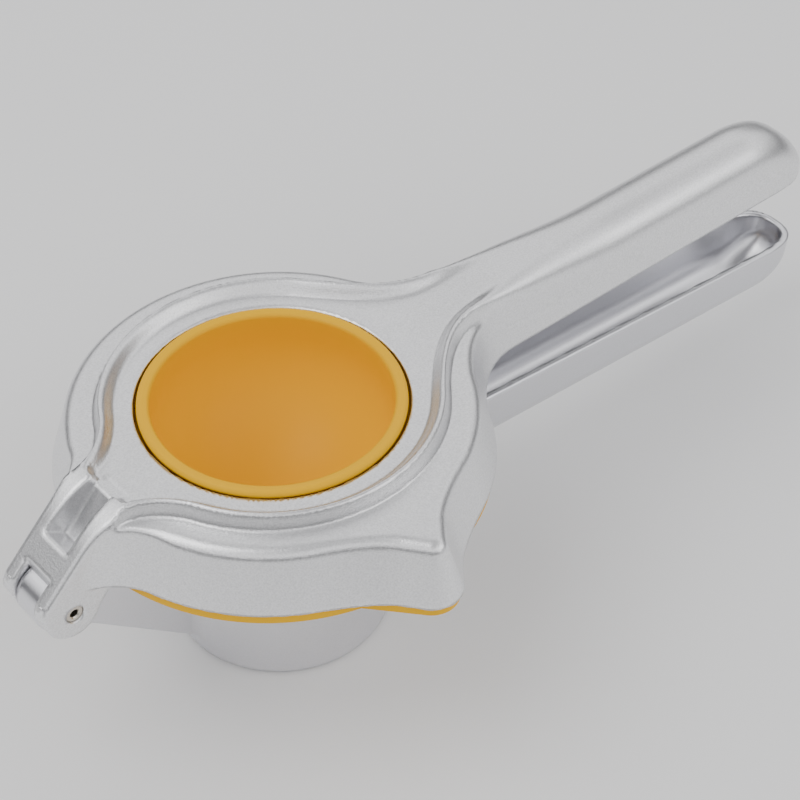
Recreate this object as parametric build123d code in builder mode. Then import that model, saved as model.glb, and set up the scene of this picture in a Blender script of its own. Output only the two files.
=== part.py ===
from build123d import *
from math import atan, cos, degrees, radians, sin, sqrt
import os

# Citrus press juicer: two die-cast aluminium levers joined by one cross pin, a pressing dome
# held in the upper lever and a strainer insert lying in the lower one.
# Millimetres. Origin: centre of the round foot, on the surface it stands on. +X runs from the
# hinge to the handles, +Z is up, and the pouring spout points to -Y.

# ---------------------------------------------------------------- driving dimensions
foot_radius = 24.8            # round foot and juice cup of the lower body
foot_floor = 3.6              # thickness of the cup's floor
cup_wall = 2.8
crest_z = 63.0                # top of the raised rib that runs round the upper lever
plateau_z = crest_z - 2.8     # flat face round the dome
land_z = crest_z - 3.6        # flat shoulder outside the rib
parting_z = 45.2              # bottom edge of the upper lever
part_gap = 0.3                # clearance between the lever and what lies under it

skirt_radius = 47.7           # skirt of the upper lever at its bottom edge
land_radius = 43.6            # outer edge of the shoulder
rib_outer_radius = 37.8       # foot of the rib on the shoulder
rib_crest_radius = 36.1
plateau_radius = 32.9         # foot of the rib on the plateau
hole_radius = 29.3            # hole for the pressing dome
cover_thickness = 2.8         # shoulder of the upper lever
skirt_wall = 2.6
spout_reach = 58.4            # from the axis to the tip of the spout, at the bottom edge
spout_side_slope = 0.885      # half width gained per millimetre away from the tip
spout_root_y = 38.0           # its sides run in under the round skirt as far as this
spout_tip_radius = 6.0
spout_root_radius = 4.0       # where the spout's sides run into the round skirt

bowl_centre_z = 46.0          # common centre of the strainer bowl and the seat it lies in
sieve_inner_radius = 29.9
sieve_wall = 2.0
sieve_slot_width = 2.0
seat_clearance = 0.5
seat_wall = 2.6
flange_radius = 47.2          # strainer flange, just inside the skirt
flange_thickness = 2.1
seat_flange_radius = 42.0     # flange of the lower body that carries the strainer
seat_flange_thickness = 3.0

dome_radius = 27.9            # pressing dome, outside
dome_wall = 2.0
dome_depth = 32.0             # from the plateau down to the outside of its tip
dome_rim_rise = 0.9           # how far its rim stands above the plateau
dome_rim_radius = 28.7
dome_flange_radius = 32.0     # flange that holds it from below
dome_flange_thickness = 1.8

pin_x = -57.4
pin_z = 40.5
pin_radius = 2.1
pin_bore_radius = 0.95
pin_half_length = 7.3
running_clearance = 0.05
ear_radius = 6.4
ear_outer = 7.6               # half width across the two ears
heel_x = -65.0                # rearmost point of the ears
heel_z = 44.1
slot_half = 4.2               # half width of the slot between the ears
slot_end_x = -60.0            # inner end of the slot, seen from above
knuckle_radius = 6.8
knuckle_half = 3.9
knuckle_room_z = 46.8         # roof of the space above the knuckle
pocket_half = 3.6             # half width of the pocket in the top of the hinge arm

handle_half = 9.0             # half width of both handles
handle_tip_x = 160.8
handle_wall = 2.0
handle_top_z = crest_z - 1.4
handle_rounding = 7.6
lower_rim_x = 50.4            # a point on the rim of the lower handle
lower_rim_z = 34.2
lower_rim_angle = -4.6        # the lower handle leans away from the upper one, degrees
lower_handle_depth = 15.6

# ---------------------------------------------------------------- derived values
flange_top = parting_z - part_gap
flange_bottom = flange_top - flange_thickness
hollow_roof_z = land_z - cover_thickness
skirt_draft = degrees(atan((skirt_radius - land_radius) / (land_z - parting_z)))
rib_draft = degrees(atan((rib_outer_radius - rib_crest_radius) / (crest_z - land_z)))
recess_draft = degrees(atan((rib_crest_radius - plateau_radius) / (crest_z - plateau_z)))
sieve_outer_radius = sieve_inner_radius + sieve_wall
seat_inner_radius = sieve_outer_radius + seat_clearance
seat_outer_radius = seat_inner_radius + seat_wall
cup_inner_radius = foot_radius - cup_wall
lower_tip = (handle_tip_x - lower_rim_x) / cos(radians(lower_rim_angle))
rim_plane = Plane(
    origin=(lower_rim_x, 0, lower_rim_z),
    x_dir=(cos(radians(lower_rim_angle)), 0, sin(radians(lower_rim_angle))),
    z_dir=(-sin(radians(lower_rim_angle)), 0, cos(radians(lower_rim_angle))),
)


def radius_at(radius, height):
    """Section radius, at a height, of a sphere round the bowl's centre."""
    return sqrt(radius**2 - (bowl_centre_z - height) ** 2)


def bowl_arc(radius, start_radius, end_height):
    """Arc of a bowl's section, from a section radius low down up to a height."""
    start_height = bowl_centre_z - sqrt(radius**2 - start_radius**2)
    middle_height = (start_height + end_height) / 2
    return ThreePointArc(
        (start_radius, start_height),
        (radius_at(radius, middle_height), middle_height),
        (radius_at(radius, end_height), end_height),
    )


def spout_corners(reach):
    """Corners of the pointed spout lobe, before its tip is rounded."""
    apex = reach + 0.53 * spout_tip_radius
    root_half = spout_side_slope * (apex - spout_root_y)
    return [(-root_half, -spout_root_y), (0, -apex), (root_half, -spout_root_y), (0, 0)]


def handle_outline(half_width, root, tip):
    """Plan outline of a handle: straight sides and a round end."""
    bend = tip - 1.15 * half_width
    Polyline((bend, half_width), (root, half_width), (root, -half_width), (bend, -half_width))
    Spline(
        (bend, -half_width), (tip, 0), (bend, half_width),
        tangents=[(1, 0), (0, 1), (-1, 0)],
        tangent_scalars=[1.3, 1.3, 1.3],
    )


# ---------------------------------------------------------------- lower body
# core that hollows the handle into an open channel
channel_root = -9.0
with BuildPart() as channel_core:
    with BuildSketch(rim_plane):
        with BuildLine():
            handle_outline(handle_half - handle_wall, channel_root, lower_tip - handle_wall)
        make_face()
    extrude(amount=-(lower_handle_depth - handle_wall))
    channel_floor = channel_core.faces().sort_by(Axis.Z)[0]
    fillet(channel_floor.edges(), radius=handle_rounding - handle_wall)

with BuildPart() as lower_body:
    # the handle is a long tub with a rounded bottom
    with BuildSketch(rim_plane):
        with BuildLine():
            handle_outline(handle_half, -36, lower_tip)
        make_face()
    extrude(amount=-lower_handle_depth)
    tub_bottom = lower_body.faces().sort_by(Axis.Z)[0]
    fillet(tub_bottom.edges(), radius=handle_rounding)
    # arm and knuckle of the hinge
    with BuildSketch(Plane.XZ.offset(-knuckle_half)):
        with BuildLine():
            Polyline(
                (pin_x - 3.6, pin_z - 4.2),
                (-23, 4.0),
                (-23, flange_bottom),
                (pin_x + 4, flange_bottom),
                (pin_x, pin_z),
                close=True,
            )
        make_face()
        with Locations((pin_x, pin_z)):
            Circle(knuckle_radius)
    extrude(amount=2 * knuckle_half)
    # bowl seat, flange and foot
    with BuildSketch(Plane.XZ):
        with BuildLine():
            seat_outside = bowl_arc(
                seat_outer_radius, foot_radius, flange_bottom - seat_flange_thickness
            )
            Polyline(
                seat_outside @ 1,
                (seat_flange_radius, flange_bottom - seat_flange_thickness),
                (seat_flange_radius, flange_bottom),
                (0, flange_bottom),
                (0, 0),
                (foot_radius - 1.5, 0),
                (foot_radius - 0.5, 0.5),
                (foot_radius, 1.5),
                seat_outside @ 0,
            )
        make_face()
    revolve(axis=Axis.Z)
    # hollow of the bowl seat and of the juice cup
    with BuildSketch(Plane.XZ):
        with BuildLine():
            seat_inside = bowl_arc(seat_inner_radius, cup_inner_radius, flange_bottom)
            Polyline(
                seat_inside @ 1,
                (0, flange_bottom),
                (0, foot_floor),
                (cup_inner_radius - 2, foot_floor),
                (cup_inner_radius, foot_floor + 2),
                seat_inside @ 0,
            )
        make_face()
    revolve(axis=Axis.Z, mode=Mode.SUBTRACT)
    add(channel_core.part, mode=Mode.SUBTRACT)
    # bore for the cross pin
    with BuildSketch(Plane.XZ.offset(-knuckle_half)):
        with Locations((pin_x, pin_z)):
            Circle(pin_radius + running_clearance)
    extrude(amount=2 * knuckle_half, mode=Mode.SUBTRACT)

# ---------------------------------------------------------------- strainer insert
with BuildPart() as strainer_insert:
    # flange with the pointed pouring lobe, lying on the seat
    with BuildSketch(Plane.XY.offset(flange_bottom)) as flange_plan:
        Circle(flange_radius)
        with BuildLine():
            Polyline(*spout_corners(spout_reach - 1.2), close=True)
        make_face()
        fillet(flange_plan.vertices().sort_by(Axis.Y)[0], radius=spout_tip_radius)
    extrude(amount=flange_thickness)
    # sieve bowl
    with BuildSketch(Plane.XZ):
        with BuildLine():
            sieve_outside = bowl_arc(sieve_outer_radius, 0, flange_bottom)
            Polyline(sieve_outside @ 1, (0, flange_bottom), sieve_outside @ 0)
        make_face()
    revolve(axis=Axis.Z)
    with BuildSketch(Plane.XZ):
        with BuildLine():
            sieve_inside = bowl_arc(sieve_inner_radius, 0, flange_top)
            Polyline(sieve_inside @ 1, (0, flange_top), sieve_inside @ 0)
        make_face()
    revolve(axis=Axis.Z, mode=Mode.SUBTRACT)
    # shallow channel that leads the juice to the tip of the lobe
    with BuildSketch(Plane.XY.offset(flange_top)):
        with Locations((0, -(sieve_inner_radius + spout_reach - 8) / 2)):
            SlotOverall(spout_reach - sieve_inner_radius, 8, rotation=90)
    extrude(amount=-1.2, mode=Mode.SUBTRACT)
    # two rings of radial sieve slots
    for slot_count, slot_middle, slot_length in ((8, 8.5, 7.0), (16, 18.0, 8.0)):
        with BuildSketch(Plane.XY):
            with PolarLocations(slot_middle, slot_count):
                SlotOverall(slot_length, sieve_slot_width)
        extrude(amount=flange_bottom, mode=Mode.SUBTRACT)

# ---------------------------------------------------------------- upper lever
# core that hollows the upper handle from below
with BuildPart() as handle_core:
    with BuildSketch(Plane.XY.offset(parting_z)):
        with BuildLine():
            handle_outline(
                handle_half - handle_wall, skirt_radius + 1, handle_tip_x - handle_wall
            )
        make_face()
    extrude(amount=handle_top_z - handle_wall - parting_z)
    core_top = handle_core.faces().sort_by(Axis.Z)[-1]
    fillet(core_top.edges(), radius=handle_rounding - handle_wall)

with BuildPart() as upper_lever:
    # handle with a rounded top
    with BuildSketch(Plane.XY.offset(parting_z)):
        with BuildLine():
            handle_outline(handle_half, hole_radius + 2, handle_tip_x)
        make_face()
    extrude(amount=handle_top_z - parting_z)
    handle_top = upper_lever.faces().sort_by(Axis.Z)[-1]
    fillet(handle_top.edges(), radius=handle_rounding)
    # hinge arm: sloping back, two round ears
    with BuildSketch(Plane.XZ.offset(-ear_outer)):
        with BuildLine():
            back = Spline(
                (-39.5, crest_z),
                (-46.0, crest_z - 1.5),
                (-54.0, crest_z - 7.2),
                tangents=[(-1, 0), (-1, -1)],
            )
            Polyline(
                back @ 1,
                (heel_x + 1.0, heel_z + 1.7),
                (heel_x, heel_z),
                (heel_x + 0.2, heel_z - 2.6),
                (heel_x + 1.8, heel_z - 6.6),
                (pin_x, pin_z - ear_radius),
                (pin_x + 5.0, pin_z - 4.0),
                (pin_x + 8.0, pin_z),
                (-skirt_radius - 0.4, parting_z - 1.5),
                (-skirt_radius, parting_z),
                (-39.5, parting_z),
                back @ 0,
            )
        make_face()
        with Locations((pin_x, pin_z)):
            Circle(ear_radius)
    extrude(amount=2 * ear_outer)
    # skirt with the spout hood
    with BuildSketch(Plane.XY.offset(parting_z)) as skirt_plan:
        Circle(skirt_radius)
        with BuildLine():
            Polyline(*spout_corners(spout_reach), close=True)
        make_face()
        fillet(skirt_plan.vertices().sort_by(Axis.Y)[1:3], radius=spout_root_radius)
        fillet(skirt_plan.vertices().sort_by(Axis.Y)[0], radius=spout_tip_radius)
    extrude(amount=land_z - parting_z, taper=skirt_draft)
    # raised centre, bounded by the rib
    with BuildSketch(Plane.XY.offset(land_z)):
        Circle(rib_outer_radius)
    extrude(amount=crest_z - land_z, taper=rib_draft)
    # recess down to the plateau, open towards the handle
    with BuildSketch(Plane.XY.offset(crest_z)):
        Circle(rib_crest_radius - 0.3)
    extrude(amount=plateau_z - crest_z, taper=recess_draft, mode=Mode.SUBTRACT)
    with BuildSketch(Plane.XY.offset(handle_top_z)):
        with Locations((rib_crest_radius, 0)):
            Rectangle(12, 2 * pocket_half)
    extrude(amount=crest_z - handle_top_z, mode=Mode.SUBTRACT)
    # pocket in the top of the hinge arm
    with BuildSketch(Plane.XZ.offset(-pocket_half)):
        with BuildLine():
            Polyline(
                (-30, plateau_z),
                (-42.6, plateau_z),
                (-50.6, 50.4),
                (-56.4, 55.0),
                (-56.4, crest_z + 1),
                (-30, crest_z + 1),
                close=True,
            )
        make_face()
    extrude(amount=2 * pocket_half, mode=Mode.SUBTRACT)
    # hollow under the cover
    with BuildSketch(Plane.XY.offset(parting_z)) as hollow_plan:
        Circle(skirt_radius - skirt_wall)
        with BuildLine():
            Polyline(*spout_corners(spout_reach - 3.4), close=True)
        make_face()
        fillet(hollow_plan.vertices().sort_by(Axis.Y)[1:3], radius=spout_root_radius)
        fillet(hollow_plan.vertices().sort_by(Axis.Y)[0], radius=spout_tip_radius - 2)
    extrude(amount=hollow_roof_z - parting_z, taper=skirt_draft, mode=Mode.SUBTRACT)
    # hole for the pressing dome
    with BuildSketch(Plane.XY.offset(parting_z)):
        Circle(hole_radius)
    extrude(amount=crest_z - parting_z, mode=Mode.SUBTRACT)
    add(handle_core.part, mode=Mode.SUBTRACT)
    # slot between the ears, and the round space in which the knuckle turns
    with BuildSketch(Plane.XZ.offset(-slot_half)):
        with Locations((pin_x, pin_z)):
            Circle(knuckle_radius + part_gap)
        with BuildLine():
            Polyline(
                (-70, 30),
                (-44, 30),
                (-44, knuckle_room_z),
                (slot_end_x, knuckle_room_z),
                (slot_end_x, crest_z),
                (-70, crest_z),
                close=True,
            )
        make_face()
    extrude(amount=2 * slot_half, mode=Mode.SUBTRACT)
    # bores of the ears
    with BuildSketch(Plane.XZ.offset(-ear_outer)):
        with Locations((pin_x, pin_z)):
            Circle(pin_radius)
    extrude(amount=2 * ear_outer, mode=Mode.SUBTRACT)

# ---------------------------------------------------------------- pressing dome
dome_tip_z = plateau_z - dome_depth
with BuildPart() as press_dome:
    with BuildSketch(Plane.XZ):
        with BuildLine():
            Polyline(
                (0, dome_tip_z),
                (0, plateau_z + dome_rim_rise),
                (dome_rim_radius - 0.6, plateau_z + dome_rim_rise),
                (dome_rim_radius, plateau_z + dome_rim_rise - 0.6),
                (dome_rim_radius, hollow_roof_z),
                (dome_flange_radius, hollow_roof_z),
                (dome_flange_radius, hollow_roof_z - dome_flange_thickness),
                (dome_radius, hollow_roof_z - dome_flange_thickness),
            )
            EllipticalCenterArc(
                (0, hollow_roof_z - dome_flange_thickness),
                dome_radius,
                hollow_roof_z - dome_flange_thickness - dome_tip_z,
                start_angle=270,
                arc_size=90,
            )
        make_face()
    revolve(axis=Axis.Z)
    with BuildSketch(Plane.XZ):
        with BuildLine():
            Polyline(
                (0, dome_tip_z + dome_wall),
                (0, plateau_z + dome_rim_rise),
                (dome_radius - dome_wall + 1.2, plateau_z + dome_rim_rise),
                (dome_radius - dome_wall, plateau_z - 0.6),
                (dome_radius - dome_wall, hollow_roof_z - dome_flange_thickness),
            )
            EllipticalCenterArc(
                (0, hollow_roof_z - dome_flange_thickness),
                dome_radius - dome_wall,
                hollow_roof_z - dome_flange_thickness - dome_tip_z - dome_wall,
                start_angle=270,
                arc_size=90,
            )
        make_face()
    revolve(axis=Axis.Z, mode=Mode.SUBTRACT)

# ---------------------------------------------------------------- hinge pin
with BuildPart() as hinge_pin:
    with BuildSketch(Plane.XZ.offset(-pin_half_length)):
        with Locations((pin_x, pin_z)):
            Circle(pin_radius)
            Circle(pin_bore_radius, mode=Mode.SUBTRACT)
    extrude(amount=2 * pin_half_length)
    chamfer(hinge_pin.edges().filter_by(GeomType.CIRCLE), length=0.25)

# ---------------------------------------------------------------- export
os.makedirs("parts", exist_ok=True)

lower_body.part.label = "lower_body"
export_step(lower_body.part, "parts/lower_body.step")

strainer_insert.part.label = "strainer_insert"
export_step(strainer_insert.part, "parts/strainer_insert.step")

upper_lever.part.label = "upper_lever"
export_step(upper_lever.part, "parts/upper_lever.step")

press_dome.part.label = "press_dome"
export_step(press_dome.part, "parts/press_dome.step")

hinge_pin.part.label = "hinge_pin"
export_step(hinge_pin.part, "parts/hinge_pin.step")
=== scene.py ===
import math

import bpy
import numpy as np
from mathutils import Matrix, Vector


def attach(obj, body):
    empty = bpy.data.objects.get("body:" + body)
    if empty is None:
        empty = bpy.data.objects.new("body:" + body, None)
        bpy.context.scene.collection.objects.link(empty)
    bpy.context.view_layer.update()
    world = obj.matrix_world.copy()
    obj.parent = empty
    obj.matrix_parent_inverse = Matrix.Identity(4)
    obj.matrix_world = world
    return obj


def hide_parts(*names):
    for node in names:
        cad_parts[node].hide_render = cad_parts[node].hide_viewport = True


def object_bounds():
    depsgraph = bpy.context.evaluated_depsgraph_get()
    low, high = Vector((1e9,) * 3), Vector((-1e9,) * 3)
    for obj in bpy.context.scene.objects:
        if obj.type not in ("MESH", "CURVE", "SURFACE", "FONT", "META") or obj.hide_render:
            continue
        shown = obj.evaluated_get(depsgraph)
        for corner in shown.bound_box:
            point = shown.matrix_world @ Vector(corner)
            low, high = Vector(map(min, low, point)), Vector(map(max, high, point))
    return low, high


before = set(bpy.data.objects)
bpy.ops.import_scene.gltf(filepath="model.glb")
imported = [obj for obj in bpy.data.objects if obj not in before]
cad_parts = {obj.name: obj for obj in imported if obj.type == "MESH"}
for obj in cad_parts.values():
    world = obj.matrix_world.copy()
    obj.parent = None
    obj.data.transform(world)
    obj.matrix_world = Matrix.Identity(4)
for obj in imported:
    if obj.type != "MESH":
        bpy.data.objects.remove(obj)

CAD_LOW, CAD_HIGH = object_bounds()

# All lengths in the shape functions are millimetres; meshes are written in metres.
MM = 0.001


# ---------------------------------------------------------------- shape helpers
def clip01(t):
    return np.clip(t, 0.0, 1.0)


def smooth(t):
    t = clip01(t)
    return t * t * (3 - 2 * t)


def mix(a, b, t):
    return a + (b - a) * t


def round_join(a, b, r):
    """Union of two solids with a concave fillet of radius r."""
    return np.maximum(r, np.minimum(a, b)) - np.hypot(np.maximum(r - a, 0), np.maximum(r - b, 0))


def round_cut(a, b, r):
    """Intersection of two solids with a convex edge radius r."""
    return -round_join(-a, -b, r)


def box_2d(u, v, half_u, half_v, r):
    """Distance to a rectangle with rounded corners."""
    du, dv = np.abs(u) - half_u + r, np.abs(v) - half_v + r
    return np.minimum(np.maximum(du, dv), 0) + np.hypot(np.maximum(du, 0), np.maximum(dv, 0)) - r


# ---------------------------------------------------------------- iso-surface mesh
def gradient(shape, p, e=0.03):
    g = np.empty(p.shape)
    for k in range(3):
        d = np.zeros(3)
        d[k] = e
        g[:, k] = (shape(*(p + d).T) - shape(*(p - d).T)) / (2 * e)
    return g / np.maximum(np.linalg.norm(g, axis=1), 1e-9)[:, None]


def iso_mesh(shape, low, high, step):
    """Quad mesh of the surface shape(x, y, z) = 0. Each cell's vertex is the point that lies best on the
    surface's tangent planes in that cell, so edges come out crisp and walls smooth."""
    start = np.array(low) - 1.5 * step
    axes = [np.arange(a, b + 2.5 * step, step) for a, b in zip(start, high)]
    counts = [len(a) for a in axes]
    values = np.empty(counts)
    for i in range(0, counts[0], 32):
        grid = np.meshgrid(axes[0][i:i + 32], axes[1], axes[2], indexing="ij")
        values[i:i + 32] = shape(*grid)
    strides = np.array([counts[1] * counts[2], counts[2], 1])
    quads, cells, places, normals = [], [], [], []
    for axis in range(3):
        u, v = (axis + 1) % 3, (axis + 2) % 3
        here = [slice(1, -1)] * 3
        there = [slice(1, -1)] * 3
        here[axis], there[axis] = slice(0, -1), slice(1, None)
        a, b = values[tuple(here)], values[tuple(there)]
        sign = (a < 0) != (b < 0)
        index = np.argwhere(sign) + np.where(np.arange(3) == axis, 0, 1)
        va, vb = a[sign], b[sign]
        near = start + step * index
        lo, hi = np.zeros(len(va)), np.ones(len(va))
        flo, fhi = va.copy(), vb.copy()
        for _ in range(4):
            t = lo + (hi - lo) * flo / (flo - fhi)
            point = near.copy()
            point[:, axis] += step * t
            f = shape(*point.T)
            same = (f < 0) == (flo < 0)
            lo, flo = np.where(same, t, lo), np.where(same, f, flo)
            hi, fhi = np.where(same, hi, t), np.where(same, fhi, f)
        normal = gradient(shape, point)
        ring = []
        for du, dv in ((0, 0), (-1, 0), (-1, -1), (0, -1)):
            cell = index.copy()
            cell[:, u] += du
            cell[:, v] += dv
            ring.append(cell @ strides)
            cells.append(ring[-1])
            places.append(point)
            normals.append(normal)
        ring = np.stack(ring, 1)
        flip = va > 0
        ring[flip] = ring[flip][:, ::-1]
        quads.append(ring)
    cells, places, normals = (np.concatenate(part) for part in (cells, places, normals))
    used, cells = np.unique(cells, return_inverse=True)
    number = len(used)
    hits = np.bincount(cells, minlength=number)
    centre = np.stack([np.bincount(cells, places[:, k], number) for k in range(3)], 1) / hits[:, None]
    away = ((places - centre[cells]) * normals).sum(1)
    square = np.empty((number, 3, 3))
    side = np.empty((number, 3))
    for j in range(3):
        side[:, j] = np.bincount(cells, normals[:, j] * away, number)
        for k in range(3):
            square[:, j, k] = np.bincount(cells, normals[:, j] * normals[:, k], number)
    square += 0.06 * np.eye(3)
    points = centre + np.linalg.solve(square, side[:, :, None])[:, :, 0]
    corner = start + step * np.stack(np.unravel_index(used, counts), 1)
    points = np.clip(points, corner - 0.1 * step, corner + 1.1 * step)
    quads = np.searchsorted(used, np.concatenate(quads))
    return points, quads


def new_object(name, points, faces, material):
    points = np.clip(points * MM, np.array(CAD_LOW), np.array(CAD_HIGH))
    mesh = bpy.data.meshes.new(name)
    mesh.vertices.add(len(points))
    mesh.vertices.foreach_set("co", points.astype(np.float32).ravel())
    size = faces.shape[1]
    mesh.loops.add(faces.size)
    mesh.loops.foreach_set("vertex_index", faces.astype(np.int32).ravel())
    mesh.polygons.add(len(faces))
    mesh.polygons.foreach_set("loop_start", np.arange(0, faces.size, size, dtype=np.int32))
    mesh.update(calc_edges=True)
    mesh.polygons.foreach_set("use_smooth", np.ones(len(faces), bool))
    mesh.materials.append(material)
    obj = bpy.data.objects.new(name, mesh)
    bpy.context.scene.collection.objects.link(obj)
    return obj


def lathe(name, outline, material, turns=192):
    """Closed ring of revolution round Z from a list of (radius, height) corners."""
    r, h = np.array(outline).T
    angle = np.arange(turns) * 2 * math.pi / turns
    points = np.stack([np.outer(np.cos(angle), r), np.outer(np.sin(angle), r), np.tile(h, (turns, 1))], 2)
    i, j = np.meshgrid(np.arange(turns), np.arange(len(r)), indexing="ij")
    i2, j2 = (i + 1) % turns, (j + 1) % len(r)
    faces = np.stack([i * len(r) + j, i2 * len(r) + j, i2 * len(r) + j2, i * len(r) + j2], 2)
    return new_object(name, points.reshape(-1, 3), faces.reshape(-1, 4), material)


def arc(cr, ch, ar, ah, first, last, count):
    """Corners along an elliptical arc; angles in degrees from the outward direction."""
    t = np.radians(np.linspace(first, last, count))
    return [(cr + ar * math.cos(v), ch + ah * math.sin(v)) for v in t]


# ---------------------------------------------------------------- upper lever
SPLIT = 45.2            # bottom edge of the upper casting
SHOULDER = 59.4         # flat shoulder outside the rib
PLATEAU = 60.2          # flat face round the dome
CREST = 63.0            # rib
DRAFT = 0.289           # the skirt widens by this much per millimetre of height
PIN_X, PIN_Z = -57.4, 40.5
TIP = 160.8             # ends of both handles
END_RUN = 13.0          # length of a handle's rounded end
END_POWER = 2.7         # 2 would be an ellipse, more is squarer
COVER_RADIUS = 43.6     # round cover, at its shoulder
RIB_RADIUS = 36.1       # crest line of the rib
HOLE_RADIUS = 29.3      # opening for the pressing dome
HANDLE_HALF = 9.0       # half width of both handles
COVER_WALL = 2.0
SPOUT_HALF_ANGLE = math.radians(38)
SPOUT_APEX_Y = -51.5    # centre of the spout's rounded tip
SPOUT_TIP_RADIUS = 2.6
ARM_HALF = 7.6          # half width of the hinge arm
ARM_BEND_X = -39.5      # the arm's top starts to bend down here
ARM_BEND_RUN = 14.5     # and runs straight after this distance
POCKET_X = -42.6        # crease where the flat face drops into the arm's pocket
EAR_RADIUS = 6.4
KNUCKLE_RADIUS = 6.8
KNUCKLE_ROOM = 7.1
KNUCKLE_HALF = 3.9
SLOT_HALF = 4.15        # half width of the gap between the ears
BORE_RADIUS = 2.15


def spout_plan(x, y):
    """Plan distance to the spout's shoulder outline: a wedge with a rounded tip."""
    c, s = math.cos(SPOUT_HALF_ANGLE), math.sin(SPOUT_HALF_ANGLE)
    ax, ay = np.abs(x), y - SPOUT_APEX_Y
    side = ax * c - ay * s
    d = np.where(ax * s + ay * c < 0, np.hypot(ax, ay), side)
    return np.maximum(d - SPOUT_TIP_RADIUS, y + 25)


def handle_plan(along, y, half, end):
    """Plan distance to a handle with straight sides and a squarish round end."""
    u = np.maximum(along - (end - END_RUN), 0) / END_RUN
    v = np.abs(y) / half
    n = (u ** END_POWER + v ** END_POWER) ** (1 / END_POWER)
    return (n - 1) * half


def arm_top(x):
    """Height of the hinge arm's top: it bends down, then runs straight to the ears."""
    s = np.maximum(ARM_BEND_X - x, 0)
    return CREST - 0.0345 * np.minimum(s, ARM_BEND_RUN) ** 2 - np.maximum(s - ARM_BEND_RUN, 0)


def convex(u, v, corners):
    """Distance to a convex outline, its corners given clockwise."""
    d = -1e9
    for (au, av), (bu, bv) in zip(corners, corners[1:] + corners[:1]):
        length = math.hypot(bu - au, bv - av)
        d = np.maximum(d, ((av - bv) * (u - au) + (bu - au) * (v - av)) / length)
    return d


# The ear's heel seen from the side, its corners clockwise from the top
HEEL = [
    (-56, 57.2), (-54, 50), (-57, 35), (-61.5, 36),
    (-63.8, 39), (-64.9, 42.5), (-64.7, 44.4), (-63.6, 46.0),
]


def sides(x, y, z, wall=0.0):
    """Distance to the upper casting's side walls, without the hinge arm."""
    grow = (SHOULDER - z) * DRAFT
    ring = np.hypot(x, y) - COVER_RADIUS - grow
    spout = spout_plan(x, y) - grow
    half = HANDLE_HALF - 0.055 * (z - SPLIT) - wall
    strip = np.maximum(handle_plan(x, y, half, TIP - wall), 25 - x)
    plan = round_join(ring + wall, spout + wall, 5.0)
    return round_join(plan * 0.96, strip, 13.4 - 0.5 * wall)


def crown(x):
    """Height of the upper handle's top line."""
    rise = mix(62.3, 61.7, smooth((x - 66) / 30))
    return rise - 0.018 * np.maximum(x - 139.5, 0) ** 2


def lever_top(x, y):
    """Height of the upper casting's top surface."""
    ring = np.hypot(x, y) - RIB_RADIUS
    grip = np.maximum(np.abs(y) - 7.6, 28 - x)
    arm = np.maximum(np.abs(y) - 7.4, x + 28)
    rim = round_join(ring, grip, 15.5)
    q = round_join(rim, arm, 10.0)
    fade = smooth((x - 48) / 18)
    low = mix(PLATEAU, crown(x), smooth((x - 36) / 30))
    high = mix(CREST, crown(x), fade)
    inner = mix(low, high, smooth(1 + q / mix(3.3, 4.5, fade)))
    inner = mix(inner, high, smooth((-41 - x) / 3))
    shoulder = mix(SHOULDER, crown(x) - 1.2, smooth((x - 46) / 40))
    t = clip01(q / mix(1.8, 3.0, fade))
    outer = mix(inner, shoulder, mix(t, smooth(t), 0.8))
    return np.minimum(outer, np.where(x < ARM_BEND_X, arm_top(x), CREST))


def hinge_ears(x, y, z, slope):
    """Both ears: round below the pin, a heel behind it, a concave curve up to the skirt."""
    eye = np.hypot(x - PIN_X, z - PIN_Z) - EAR_RADIUS
    heel = convex(x, z, HEEL)
    fill = np.maximum(14 - np.hypot(x + 39.2, z - 31.2), np.maximum(z - 46, -54 - x))
    fill = np.maximum(fill, np.maximum(-0.456 * (x - PIN_X) - 0.892 * (z - PIN_Z), x + 46.5))
    root = box_2d(x + 54.8, z - 48, 7.2, 4.0, 0.5)
    ear = np.minimum(np.minimum(np.minimum(eye, heel), fill), root)
    ear = np.maximum(ear, (z - arm_top(x)) * slope)
    ear = round_cut(ear, np.abs(y) - ARM_HALF, 0.9)
    return np.maximum(ear, np.where(z < SPLIT, 47.6 - np.hypot(x, y), -9))


def arm_pocket(x, y, z):
    """The pocket in the top of the arm, beyond the end of the channel."""
    fall = np.minimum(PLATEAU, PLATEAU + 1.225 * (x - POCKET_X)) - z
    fall = np.where(x < POCKET_X, fall * 0.632, fall)
    back = (50.4 - 0.793 * (x + 50.6) - z) * 0.784
    pocket = round_cut(round_cut(fall, back, 0.6), np.abs(y) - 3.7 + 0.06 * (z - 58), 0.6)
    return np.maximum(pocket, x + 40)


def under_hollow(x, y, z):
    """The hollow under the cover and in the handle."""
    roof = mix(56.6, crown(x) - 2.1, smooth((x - 44) / 10))
    hollow_edge = mix(1.5, 5.6, smooth((x - 46) / 40))
    return round_cut(sides(x, y, z, COVER_WALL), z - roof, hollow_edge)


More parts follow.
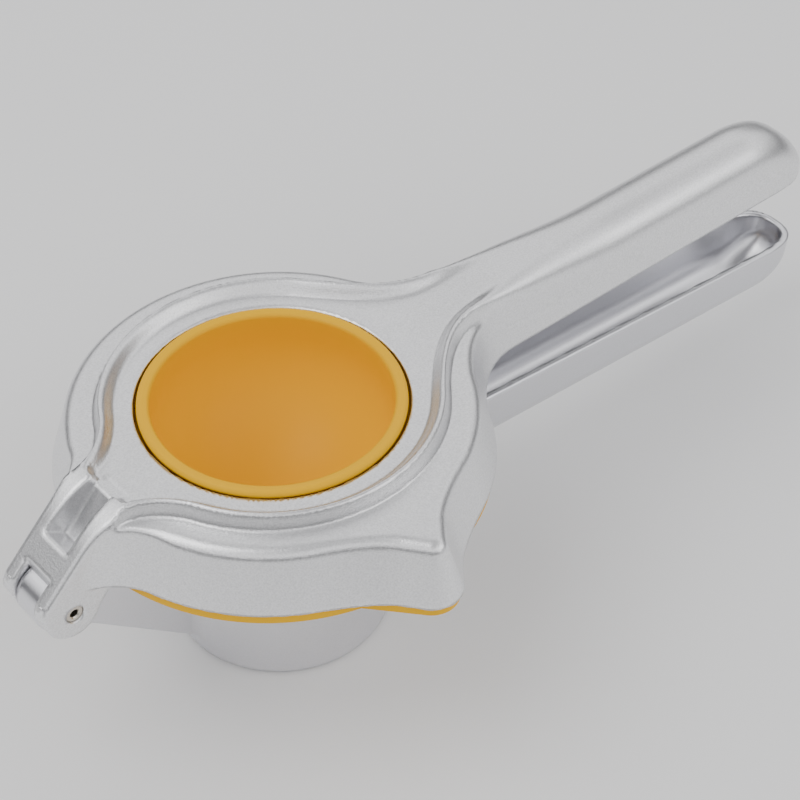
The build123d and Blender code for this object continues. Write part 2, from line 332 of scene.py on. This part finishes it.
def lever_shape(x, y, z):
    r = np.hypot(x, y)
    top = lever_top(x, y)
    body = sides(x, y, z)
    arm_side = np.maximum(np.abs(y) - ARM_HALF, x + 25)
    plan = round_join(body, arm_side, 9.0)
    edge = mix(2.0, 7.6, smooth((x - 48) / 48))
    edge = mix(edge, 0.9, smooth((-38 - x) / 6))
    slope = 1 / np.hypot(1, np.minimum(0.069 * np.maximum(ARM_BEND_X - x, 0), 1))
    solid = round_cut(plan, (z - top) * slope, edge)
    solid = round_cut(solid, SPLIT - z, 0.4)
    solid = np.minimum(solid, hinge_ears(x, y, z, slope))
    solid = round_cut(solid, -arm_pocket(x, y, z), 0.8)
    solid = round_cut(solid, -under_hollow(x, y, z), 0.5)
    # hole for the pressing dome, slot between the ears, space for the knuckle, bores
    solid = round_cut(solid, HOLE_RADIUS - r, 0.6)
    slot = np.maximum(np.maximum(x + 60.0, -70 - x), z - 70)
    room = np.minimum(np.maximum(x + 45, z - 46.8), np.hypot(x - PIN_X, z - PIN_Z) - KNUCKLE_ROOM)
    solid = round_cut(solid, -np.maximum(np.minimum(slot, room), np.abs(y) - SLOT_HALF), 0.3)
    bore = np.hypot(x - PIN_X, z - PIN_Z) - BORE_RADIUS
    return np.maximum(solid, -bore)


# ---------------------------------------------------------------- lower body
RIM_X, RIM_Z = 50.4, 34.2       # a point on the lower handle's rim
LEAN = math.radians(-4.6)       # the rim falls towards the tip
TRAY_WALL = 1.7
SEAT_CENTRE_Z = 46.0            # centre of the round seat bowl
SEAT_RADIUS, SEAT_INNER_RADIUS = 35.0, 32.4
CUP_RADIUS, WELL_RADIUS = 24.8, 22.0
CUP_FLOOR = 3.6


def lower_handle(x, y, z, wall):
    """Distance to the boat-shaped lower handle and height above its rim; wall shrinks it to its hollow."""
    u = (x - RIM_X) * math.cos(LEAN) + (z - RIM_Z) * math.sin(LEAN)
    w = (z - RIM_Z) * math.cos(LEAN) - (x - RIM_X) * math.sin(LEAN)
    reach = (TIP - RIM_X) / math.cos(LEAN) - wall
    half = HANDLE_HALF + 0.06 * w - wall
    plan = handle_plan(u, y, half, reach)
    depth = 16.2 - 0.019 * np.maximum(u, 0) - 0.02 * np.maximum(u - 97, 0) ** 2 - wall
    r = 7.2 - 0.9 * wall
    return round_cut(plan, -w - depth, r), w


def body_shape(x, y, z):
    r = np.hypot(x, y)
    tub, w = lower_handle(x, y, z, 0.0)
    handle = round_cut(tub, w, 0.6)
    handle = np.maximum(handle, 20 - x)
    # seat bowl, flange and juice cup
    ball = np.sqrt(r * r + (z - SEAT_CENTRE_Z) ** 2) - SEAT_RADIUS
    cup = round_cut(r - CUP_RADIUS, np.maximum(-z, z - 30), 1.6)
    bowl = round_join(ball, cup, 4.0)
    flange = box_2d(r, z - 40.9, 42.0, 1.5, 0.5)
    core = round_join(bowl, flange, 2.0)
    solid = round_join(core, handle, 5.0)
    # arm of the hinge and its round knuckle
    under = (-(z - 9.6) * 0.743 - (x + 28.7) * 0.669)
    arm = np.maximum(np.maximum(under, z - 42.4), np.maximum(x + 24, -57.5 - x))
    knob = np.hypot(x - PIN_X, z - PIN_Z) - KNUCKLE_RADIUS
    arm = round_join(arm, knob, 1.5)
    arm = round_cut(arm, np.abs(y) - KNUCKLE_HALF, 0.5)
    solid = round_join(solid, arm, 3.0)
    solid = np.maximum(solid, np.where(x > -50, z - 42.4, -90))
    # hollows
    inside = np.maximum(np.sqrt(r * r + (z - SEAT_CENTRE_Z) ** 2) - SEAT_INNER_RADIUS, z - 43)
    well = round_cut(r - WELL_RADIUS, CUP_FLOOR - z, 2.0)
    well = np.maximum(well, z - 35)
    solid = round_cut(solid, -np.minimum(inside, well), 0.4)
    tray, _ = lower_handle(x, y, z, TRAY_WALL)
    tray = np.maximum(tray, 41.0 - x + 0.2 * np.abs(y))
    solid = round_cut(solid, -tray, 0.5)
    bore = np.hypot(x - PIN_X, z - PIN_Z) - BORE_RADIUS
    return np.maximum(solid, -bore)


# ---------------------------------------------------------------- materials
def material(name):
    m = bpy.data.materials.new(name)
    m.use_nodes = True
    return m, m.node_tree, m.node_tree.nodes["Principled BSDF"]


def metal(name, colour, rough, grain, speck):
    """Cast aluminium with a fine metallic grain."""
    m, tree, b = material(name)
    b.inputs["Metallic"].default_value = 1.0
    b.inputs["Roughness"].default_value = rough
    place = tree.nodes.new("ShaderNodeTexCoord")
    fine = tree.nodes.new("ShaderNodeTexNoise")
    fine.inputs["Scale"].default_value = 2600.0
    fine.inputs["Detail"].default_value = 3.0
    tree.links.new(place.outputs["Object"], fine.inputs["Vector"])
    ramp = tree.nodes.new("ShaderNodeMapRange")
    ramp.inputs["From Min"].default_value = 0.3
    ramp.inputs["From Max"].default_value = 0.7
    ramp.inputs["To Min"].default_value = 1.0 - speck
    ramp.inputs["To Max"].default_value = 1.0 + 0.4 * speck
    tree.links.new(fine.outputs["Fac"], ramp.inputs["Value"])
    tint = tree.nodes.new("ShaderNodeVectorMath")
    tint.operation = "SCALE"
    tint.inputs[0].default_value = colour
    tree.links.new(ramp.outputs["Result"], tint.inputs["Scale"])
    tree.links.new(tint.outputs["Vector"], b.inputs["Base Color"])
    bump = tree.nodes.new("ShaderNodeBump")
    bump.inputs["Strength"].default_value = grain
    bump.inputs["Distance"].default_value = 0.0001
    tree.links.new(fine.outputs["Fac"], bump.inputs["Height"])
    tree.links.new(bump.outputs["Normal"], b.inputs["Normal"])
    return m


def plastic(name, colour, rough):
    m, _, b = material(name)
    b.inputs["Base Color"].default_value = (*colour, 1)
    b.inputs["Roughness"].default_value = rough
    b.inputs["IOR"].default_value = 1.5
    b.inputs["Specular IOR Level"].default_value = 0.12
    return m


upper_metal = metal("upper_casting", (0.86, 0.86, 0.87), 0.32, 0.55, 0.16)
# The lower casting's base colour is darker than the upper one's. Part of that is its own tone, and part is
# painted shade that darkens the hollow inside the lower handle.
lower_metal_painted_shade = metal("lower_casting", (0.76, 0.76, 0.79), 0.28, 0.12, 0.04)
yellow = plastic("yellow_plastic", (0.86, 0.46, 0.0), 0.4)
steel = metal("pin_steel", (0.62, 0.57, 0.50), 0.3, 0.1, 0.05)

# ---------------------------------------------------------------- pieces
# LEVER_BOX starts at a height that puts no grid plane just below the rib's crest, where the rib is
# narrower than a step and the mesh would pinch. Another STEP needs another start.
STEP = 0.7
LEVER_BOX = (-65.2, -58.8, 33.35), (161.2, 48.2, 63.4)
BODY_BOX = (-63.5, -42.5, 0.0), (161.2, 42.5, 46.5)
points, quads = iso_mesh(lever_shape, *LEVER_BOX, STEP)
lever = new_object("upper_lever_casting", points, quads, upper_metal)
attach(lever, "lever")
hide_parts("upper_lever")

points, quads = iso_mesh(body_shape, *BODY_BOX, STEP)
body = new_object("lower_body_casting", points, quads, lower_metal_painted_shade)
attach(body, "base")
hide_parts("lower_body")

outer_bowl = arc(0, 54.8, 27.9, 26.6, -89.99, 0, 60)
inner_bowl = arc(0, 54.8, 25.9, 24.6, 0, -89.99, 60)
flange = [(31.6, 54.8), (32.0, 55.2), (32.0, 56.3), (31.7, 56.6), (28.6, 56.6)]
lip = [(28.6, 59.6)] + arc(27.7, 59.95, 1.0, 1.15, -20, 110, 12) + arc(26.9, 60.0, 1.0, 1.0, 100, 180, 8)
dome = lathe("press_dome_bowl", outer_bowl + flange + lip + [(25.9, 58.5)] + inner_bowl, yellow)
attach(dome, "lever")
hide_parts("press_dome")

for node, surface in (("strainer_insert", yellow), ("hinge_pin", steel)):
    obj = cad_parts[node]
    obj.data.materials.clear()
    obj.data.materials.append(surface)

# ---------------------------------------------------------------- floor, light, camera
floor_mesh = bpy.data.meshes.new("floor")
floor_mesh.from_pydata([(-3, -3, 0), (3, -3, 0), (3, 3, 0), (-3, 3, 0)], [], [(0, 1, 2, 3)])
floor = bpy.data.objects.new("floor", floor_mesh)
bpy.context.scene.collection.objects.link(floor)
floor.location.z = -0.0002
pale, _, b = material("floor")
b.inputs["Base Color"].default_value = (0.9, 0.9, 0.9, 1)
b.inputs["Roughness"].default_value = 0.6
floor_mesh.materials.append(pale)

world = bpy.data.worlds.new("studio")
bpy.context.scene.world = world
world.use_nodes = True
nodes, links = world.node_tree.nodes, world.node_tree.links
direction = nodes.new("ShaderNodeTexCoord")
split = nodes.new("ShaderNodeSeparateXYZ")
links.new(direction.outputs["Generated"], split.inputs["Vector"])
sky = nodes.new("ShaderNodeValToRGB")
links.new(split.outputs["Z"], sky.inputs["Fac"])
stops = sky.color_ramp.elements
stops[0].position, stops[0].color = 0.0, (0.05, 0.05, 0.055, 1)
stops[1].position, stops[1].color = 1.0, (0.45, 0.45, 0.46, 1)
for place, level in ((0.28, 0.07), (0.46, 1.0), (0.74, 1.0), (0.88, 0.4)):
    stop = stops.new(place)
    stop.color = (level, level, level * 1.01, 1)
links.new(sky.outputs["Color"], nodes["Background"].inputs["Color"])
nodes["Background"].inputs["Strength"].default_value = 1.35


def area_light(name, place, target, size, power):
    light = bpy.data.lights.new(name, "AREA")
    light.shape = "RECTANGLE"
    light.size, light.size_y = size
    light.energy = power
    obj = bpy.data.objects.new(name, light)
    bpy.context.scene.collection.objects.link(obj)
    obj.location = place
    obj.rotation_euler = (Vector(target) - Vector(place)).to_track_quat("-Z", "Y").to_euler()
    return obj


CENTRE = (0.04, 0.0, 0.04)
area_light("key", (-0.35, 0.15, 0.75), CENTRE, (0.5, 0.5), 2.0)
area_light("fill", (0.35, -0.6, 0.35), CENTRE, (0.7, 0.4), 1.0)

# The camera looks down at the closed juicer from beside the hinge, level from left to right.
AIM = Vector((0.0341, -0.0013, 0.04))
AZIMUTH, ELEVATION, DISTANCE = math.radians(-130.29), math.radians(43.30), 0.5026
back = Vector((
    math.cos(ELEVATION) * math.cos(AZIMUTH),
    math.cos(ELEVATION) * math.sin(AZIMUTH),
    math.sin(ELEVATION),
))
camera = bpy.data.cameras.new("camera")
camera.sensor_width = 36.0
camera.lens = 101.25
view = bpy.data.objects.new("camera", camera)
bpy.context.scene.collection.objects.link(view)
view.location = AIM + DISTANCE * back
view.rotation_euler = back.to_track_quat("Z", "Y").to_euler()
bpy.context.scene.camera = view
